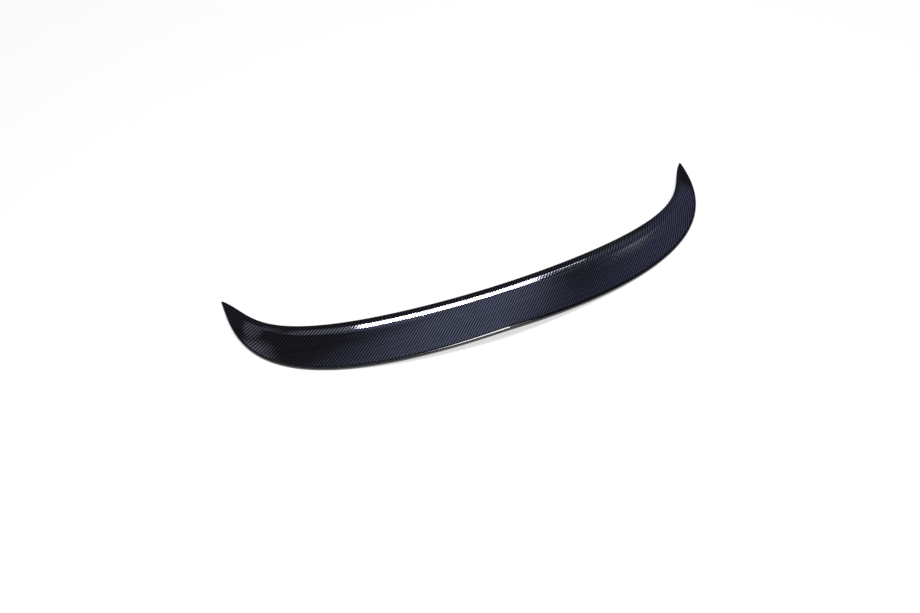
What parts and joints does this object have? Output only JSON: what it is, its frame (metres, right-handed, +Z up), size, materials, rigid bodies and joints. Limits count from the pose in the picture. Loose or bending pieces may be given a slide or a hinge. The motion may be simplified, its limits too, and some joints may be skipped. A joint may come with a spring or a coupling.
{
  "type": "car spoiler",
  "caption": "Crescent-shaped stick-on car spoiler in glossy woven carbon-fibre laminate, with a ridge along its front edge, a broad dished blade, a thin trailing lip and pointed horns.",
  "frame": {"origin": "middle of the footprint on the floor that the spoiler lies on", "axes": "+X from horn tip to horn tip, +Y forward, the way the horns point, +Z up"},
  "size_m": [1.1496, 0.3166, 0.106],
  "materials": {
    "carbon_laminate": "clear-coated twill-weave carbon fibre in epoxy, black with a blue-grey sheen"
  },
  "bodies": {
    "root": {"spoiler_shell": "carbon_laminate"}
  },
  "joints": []
}
